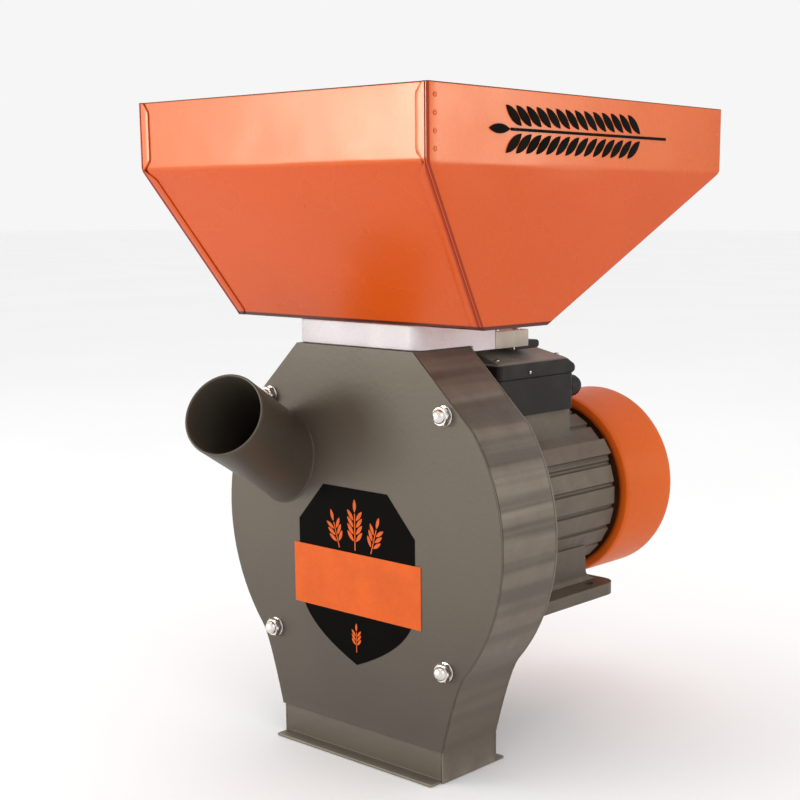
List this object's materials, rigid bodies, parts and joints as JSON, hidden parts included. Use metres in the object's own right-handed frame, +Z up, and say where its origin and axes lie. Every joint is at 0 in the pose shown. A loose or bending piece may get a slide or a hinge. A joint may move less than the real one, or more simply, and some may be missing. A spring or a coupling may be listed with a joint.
{
  "type": "hammer mill",
  "caption": "Electric grain hammer mill with a square hopper, slide gate, round bolted-cover chamber with an inclined inlet tube, bottom outlet and a foot-mounted fan-cooled motor.",
  "frame": {"origin": "middle of the plane under the motor feet, below the shaft axis", "axes": "+Z up, +Y along the shaft from the grinding chamber to the motor's fan, +X to the right seen from the front cover"},
  "size_m": [0.294, 0.415, 0.4976],
  "materials": {
    "orange_paint": "gloss powder coat",
    "grey_paint": "satin powder coat",
    "motor_paint": "satin paint on a cast ribbed body",
    "black_plastic": "moulded, lightly textured",
    "white_plastic": "moulded, smooth",
    "zinc_sheet": "dull zinc-plated sheet",
    "chrome": "bright",
    "steel": "turned, bright",
    "dark_steel": "hardened, dark scale",
    "aluminium": "drawn can",
    "copper": "varnished copper winding"
  },
  "bodies": {
    "root": {"hopper_front_panel": "orange_paint", "hopper_rear_panel": "orange_paint", "hopper_left_panel": "orange_paint", "hopper_right_panel": "orange_paint", "hopper_floor": "orange_paint", "feed_neck": "white_plastic", "gate_guide": "zinc_sheet", "housing_band": "grey_paint", "back_plate": "grey_paint", "outlet_front": "grey_paint", "sieve": "zinc_sheet", "stud_upper_left": "steel", "stud_upper_right": "steel", "stud_lower_left": "steel", "stud_lower_right": "steel", "motor_front_shield": "motor_paint", "bearing_front": "chrome", "stator_housing": "motor_paint", "stator_core": "dark_steel", "winding_front": "copper", "winding_rear": "copper", "motor_rear_shield": "motor_paint", "bearing_rear": "chrome", "fan_cover": "orange_paint", "motor_foot_left": "motor_paint", "motor_foot_right": "motor_paint", "terminal_box": "black_plastic", "terminal_box_lid": "black_plastic", "run_capacitor": "aluminium", "cable_gland": "black_plastic", "switch_body": "black_plastic"},
    "rotor": {"motor_shaft": "steel", "rotor_hub": "dark_steel", "rotor_disc_front": "dark_steel", "rotor_disc_rear": "dark_steel", "rotor_nut": "steel", "hammer_pin_upper_left": "steel", "hammer_pin_upper_right": "steel", "hammer_pin_lower_left": "steel", "hammer_pin_lower_right": "steel", "rotor_core": "dark_steel", "cooling_fan": "black_plastic"},
    "gate": {"gate_plate": "zinc_sheet", "gate_grip": "black_plastic"},
    "cover": {"front_cover": "grey_paint", "inlet_tube": "grey_paint", "dome_nut_upper_left": "chrome", "dome_nut_upper_right": "chrome", "dome_nut_lower_left": "chrome", "dome_nut_lower_right": "chrome"},
    "rocker": {"switch_rocker": "black_plastic"},
    "hammer_upper_left_front": {"hammer_upper_left_front": "dark_steel"},
    "hammer_upper_left_rear": {"hammer_upper_left_rear": "dark_steel"},
    "hammer_upper_right_front": {"hammer_upper_right_front": "dark_steel"},
    "hammer_upper_right_rear": {"hammer_upper_right_rear": "dark_steel"},
    "hammer_lower_left_front": {"hammer_lower_left_front": "dark_steel"},
    "hammer_lower_left_rear": {"hammer_lower_left_rear": "dark_steel"},
    "hammer_lower_right_front": {"hammer_lower_right_front": "dark_steel"},
    "hammer_lower_right_rear": {"hammer_lower_right_rear": "dark_steel"}
  },
  "joints": [
    {"name": "rotor_spin", "type": "hinge", "parent": "root", "child": "rotor", "pos_m": [0, -0.118, 0.08], "axis": [0, 1, 0], "continuous": true},
    {"name": "gate_slide", "type": "slide", "parent": "root", "child": "gate", "axis": [0, 1, 0], "range_m": [0, 0.07]},
    {"name": "cover_slide", "type": "slide", "parent": "root", "child": "cover", "axis": [0, -1, 0], "range_m": [0, 0.12]},
    {"name": "switch_tilt", "type": "hinge", "parent": "root", "child": "rocker", "pos_m": [-0.0545, -0.004, 0.175], "axis": [0, -1, 0], "range_deg": [0, 18]},
    {"name": "hammer_upper_left_front_swing", "type": "hinge", "parent": "rotor", "child": "hammer_upper_left_front", "pos_m": [-0.0495, -0.1264, 0.1295], "axis": [0, 1, 0], "continuous": true},
    {"name": "hammer_upper_left_rear_swing", "type": "hinge", "parent": "rotor", "child": "hammer_upper_left_rear", "pos_m": [-0.0495, -0.1096, 0.1295], "axis": [0, 1, 0], "continuous": true},
    {"name": "hammer_upper_right_front_swing", "type": "hinge", "parent": "rotor", "child": "hammer_upper_right_front", "pos_m": [0.0495, -0.1264, 0.1295], "axis": [0, 1, 0], "continuous": true},
    {"name": "hammer_upper_right_rear_swing", "type": "hinge", "parent": "rotor", "child": "hammer_upper_right_rear", "pos_m": [0.0495, -0.1096, 0.1295], "axis": [0, 1, 0], "continuous": true},
    {"name": "hammer_lower_left_front_swing", "type": "hinge", "parent": "rotor", "child": "hammer_lower_left_front", "pos_m": [-0.0495, -0.1264, 0.0305], "axis": [0, 1, 0], "continuous": true},
    {"name": "hammer_lower_left_rear_swing", "type": "hinge", "parent": "rotor", "child": "hammer_lower_left_rear", "pos_m": [-0.0495, -0.1096, 0.0305], "axis": [0, 1, 0], "continuous": true},
    {"name": "hammer_lower_right_front_swing", "type": "hinge", "parent": "rotor", "child": "hammer_lower_right_front", "pos_m": [0.0495, -0.1264, 0.0305], "axis": [0, 1, 0], "continuous": true},
    {"name": "hammer_lower_right_rear_swing", "type": "hinge", "parent": "rotor", "child": "hammer_lower_right_rear", "pos_m": [0.0495, -0.1096, 0.0305], "axis": [0, 1, 0], "continuous": true}
  ]
}
